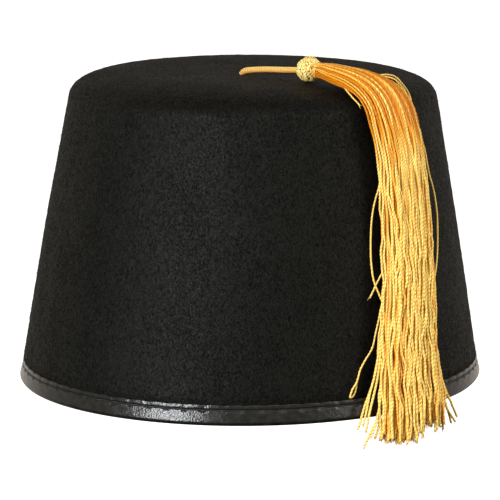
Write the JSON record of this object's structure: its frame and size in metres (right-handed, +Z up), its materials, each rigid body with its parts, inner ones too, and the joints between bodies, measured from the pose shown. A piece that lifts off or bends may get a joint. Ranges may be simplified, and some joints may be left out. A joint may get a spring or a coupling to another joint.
{
  "type": "fez hat",
  "caption": "Blocked felt fez with a bound rim and a tassel on a short cord, which falls over one side to a little below the rim.",
  "frame": {"origin": "middle of the head opening, in the plane of the rim", "axes": "+Z up out of the crown's top; the wearer faces -Y, the head opening is longest along Y, and the tassel falls on the +X side"},
  "size_m": [0.2029, 0.1982, 0.1494],
  "materials": {
    "felt": "matte black felt",
    "binding": "glossy black coated cloth",
    "cord": "gold rayon, cross-ribbed",
    "knot": "gold rayon",
    "head": "gold rayon, wound",
    "skirt": "glossy gold rayon strands"
  },
  "bodies": {
    "root": {"felt_crown": "felt", "rim_binding": "binding", "tassel_cord": "cord", "cord_knot": "knot", "tassel_head": "head", "tassel_skirt": "skirt"}
  },
  "joints": []
}
